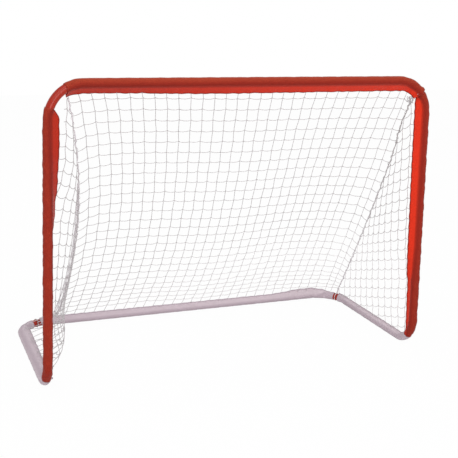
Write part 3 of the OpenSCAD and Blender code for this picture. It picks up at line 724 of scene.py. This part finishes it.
def climb(row):
    """How much a row rises for each metre towards the mouth: less from row to row, as far as
    the rows that follow the floor."""
    return 0.30 + 0.16 * np.clip(1 - row / 16, 0, 1)


def height(row, y):
    """Height of a row at a place y. Row 0 starts 6 mm below the crossbar's flap."""
    return 0.853 - row_gap * row - climb(row) * (y - top_back)


for side, name in ((-1, "left"), (1, "right")):
    front, seam = side_edges(side)
    row = np.arange(-3.0, 26.0)[:, None]
    at_zero = height(row, 0)
    meets = np.argmin(np.abs(seam[:, 2] - height(row, seam[:, 1])), axis=1)
    y_end = np.minimum(seam[meets, 1][:, None], (at_zero - low_edge) / climb(row))
    y_begin = np.interp(height(row, first_column), front[::-1, 2], front[::-1, 1])
    y_begin = np.where(row < 3, np.maximum(y_begin, top_back), y_begin)
    keep = (y_end - y_begin > 0.01)[:, 0]
    y = y_begin + (y_end - y_begin) * np.linspace(0, 1, 91)
    cell = ((y - first_column) / column_gap) % 1
    z = np.clip(height(row, y) - 0.0065 * 4 * cell * (1 - cell), low_edge, top_high)
    crossways = side_panel(side, y, z)[keep]

    y = (first_column + column_gap * np.arange(0, 12))[:, None]
    top = np.interp(y, seam[:, 1], seam[:, 2])
    z = top + (low_edge - top) * np.linspace(0, 1, 91)
    uprights = side_panel(side, y + 0.002 * np.sin(np.pi * z / row_gap + 40 * y), z)

    y, row = np.meshgrid(y[:, 0], row[:, 0], indexing="ij")
    z = height(row, y)
    inside = (z > 0.05) & (z < np.interp(y, seam[:, 1], seam[:, 2]) - 0.004)
    lumps = knots(side_panel(side, y, z)[inside], back + 0.4 * up)
    knot_up("side_net_twine_" + name, "net_side_" + name,
            [cords(crossways), cords(uprights), lumps], twine)


# ---- Seam cords: a thicker laid cord down each back corner of the nets, with a thin one
# laced round it that holds the back net and the side net together. On the left the low
# part has spare twine gathered round it. They are paler than the mesh but high up right.
seam_twine = Finish("seam_twine")
x, z = [seam_twine.axis(seam_twine.place(), letter) for letter in "XZ"]
strands = seam_twine.noise(1100.0, 3.0)
pale = seam_twine.mix(strands, (0.50, 0.46, 0.48), (0.76, 0.71, 0.74))
dull = seam_twine.mix(strands, (0.30, 0.29, 0.29), (0.52, 0.49, 0.49))
seam_twine.shade(
    Base_Color=seam_twine.mix(2.4 * (x * z), pale, dull),
    Roughness=0.8, Normal=seam_twine.bump(strands, 0.0003),
)


def round_about(wide, angle_out, angle_back):
    """A step aside of so wide: cos of one angle outwards and sin of the other backwards."""
    return wide[..., None] * (
        np.cos(angle_out)[..., None] * out + np.sin(angle_back)[..., None] * back)


for column, name in ((0, "left"), (meshes_across, "right")):
    laid = back_panel(column, np.linspace(0, 1, 500))
    laid = laid + 0.0012 * np.sin(np.linspace(0, 90, 500))[:, None] * out
    run, turn = np.linspace(0.01, 0.99, 1400), np.linspace(0, 2 * np.pi * 30, 1400)
    wide = 0.0021 + 0.0022 * np.sin(turn / 7.3) ** 4
    lacing = back_panel(column, run) + round_about(wide, turn, turn)
    parts = [cords(laid[None], 0.0016, 10, 1200.0), cords(lacing[None], 0.0008, 5)]
    if name == "left":
        begin, phase = 0.34, 2.4 * np.arange(7)[:, None]
        run = np.linspace(begin, 0.985, 300)
        wide = 0.010 * ((run - begin) / 0.645) ** 0.5
        gathered = back_panel(column, run) - 0.004 * out
        parts.append(cords(gathered + round_about(wide, phase + 8 * run, phase + 11 * run)))
    knot_up("seam_cord_laid_" + name, "seam_cord_" + name, parts, seam_twine)


# ---- Ties: a length of twine at the right top corner and at both back corners, wound round
# the tube and knotted to the net. The back ones go round the bare tube between two covers,
# the top one under the end of the crossbar's cover.
def lashing(s, turns, knotted):
    """A cord's path: from where it is knotted to the net to the tube, round it in a spiral
    about the length s of the tube, and back, with both ends bowed by a sine. It stays above
    the floor."""
    spread, wound_out, least_height = 0.003, 0.0141, 0.0014
    share = np.linspace(0, 1, 60 * turns + 20)
    place, one, two = rail(s + spread * (share - 0.5))
    middle, one_here, two_here = rail(np.array(s))
    towards = knotted - middle
    a = np.arctan2(towards @ two_here, towards @ one_here) + 2 * np.pi * turns * share[:, None]
    loops = place + wound_out * (np.cos(a) * one + np.sin(a) * two)
    share = np.linspace(0, 1, 24)[:, None]
    bow = 0.0012 * np.sin(np.pi * share) * (0.6 * up + 0.8 * out)
    there = knotted + (loops[0] - knotted) * share + bow
    again = loops[-1] + (knotted - loops[-1]) * share - bow
    path = np.concatenate([there[:-1], loops, again[1:]])
    path[:, 2] = np.maximum(path[:, 2], least_height)
    return path


def tangle(centre, radius, phase):
    """A loose knot of cord: a closed line whose three coordinates are sines of 3, 4 and 5
    times the angle."""
    a = np.linspace(0, 2 * np.pi, 90, endpoint=False)
    return centre + radius * np.stack(
        [np.sin(3 * a + phase), np.sin(4 * a + 2 * phase), np.sin(5 * a + 1)], 1)


for name, node, s, turns, column, t, tangled in (
    ("top_lashing", "top_tie",
     bar_end + corner_radius * np.radians(48), 2, meshes_across, 0.004, 0.0085),
    ("back_lashing_left", "back_tie_left",
     -(side_end + corner_radius * np.radians(66.5)), 1, 0, 0.97, 0.0035),
    ("back_lashing_right", "back_tie_right",
     side_end + corner_radius * np.radians(25.5), 1, meshes_across, 0.985, 0.0025),
):
    knotted = back_panel(column, t)
    path = lashing(s, turns, knotted)
    lump = knots(knotted[None], path[1] - path[0], 0.008, 0.0026)
    loose_end = tangle(knotted, tangled, s)
    knot_up(name, node, [cords(path[None], 0.0012, 8, 2200.0), cords(loose_end[None]), lump],
            twine)


# ---- Floor and light: a plain pale floor, a white surround, and broad soft light from
# above, from the right, from behind and, lower, from the front.
def seen(finish):
    """1 for what the camera sees, straight or in a gloss, and 0 for light on the goal."""
    camera_ray, glossy, through = [
        finish.node("ShaderNodeLightPath", output=f"Is {ray} Ray")
        for ray in ("Camera", "Glossy", "Transmission")]
    return camera_ray.math("MAXIMUM", glossy).math("MAXIMUM", through)


backdrop = Finish("floor_paint")
paint = backdrop.node("ShaderNodeBsdfDiffuse", (), {"Color": (0.8, 0.8, 0.8, 1)})
glow = backdrop.node("ShaderNodeEmission", (), {"Color": (1, 1, 1, 1)})
blend = backdrop.node("ShaderNodeMixShader", (), {0: 0.97 * seen(backdrop), 1: paint, 2: glow})
backdrop.set(backdrop.nodes["Material Output"], {"Surface": blend})
square = 8.0 * np.array([[-1, -1, 0], [1, -1, 0], [1, 1, 0], [-1, 1, 0]])
skin("floor", square, [np.arange(4)[None]], backdrop)

surround = Finish("surround", "worlds")
surround.set(surround.nodes["Background"], {
    "Color": (1, 1, 1, 1), "Strength": 0.73 + 0.27 * seen(surround)})
bpy.context.scene.world = surround.owner

for name, spot, size, power in (
    ("key_light", (-1.5, -2.5, 3.2), 2.5, 42.0),
    ("fill_light", (2.6, -2.0, 2.2), 2.5, 15.0),
    ("back_light", (0.5, 2.8, 2.6), 2.5, 15.0),
    ("front_light", (-0.6, -3.2, 0.75), 1.5, 34.0),
):
    lamp = bpy.data.objects.new(name, bpy.data.lights.new(name, "AREA"))
    lamp.data.size, lamp.data.energy = size, power
    away = np.array(spot) - 0.4 * up
    away /= np.linalg.norm(away)
    across = np.cross(up, away)
    across /= np.linalg.norm(across)
    stand(lamp, across, np.cross(away, across), away, spot)

bpy.context.scene.view_settings.view_transform = "Standard"
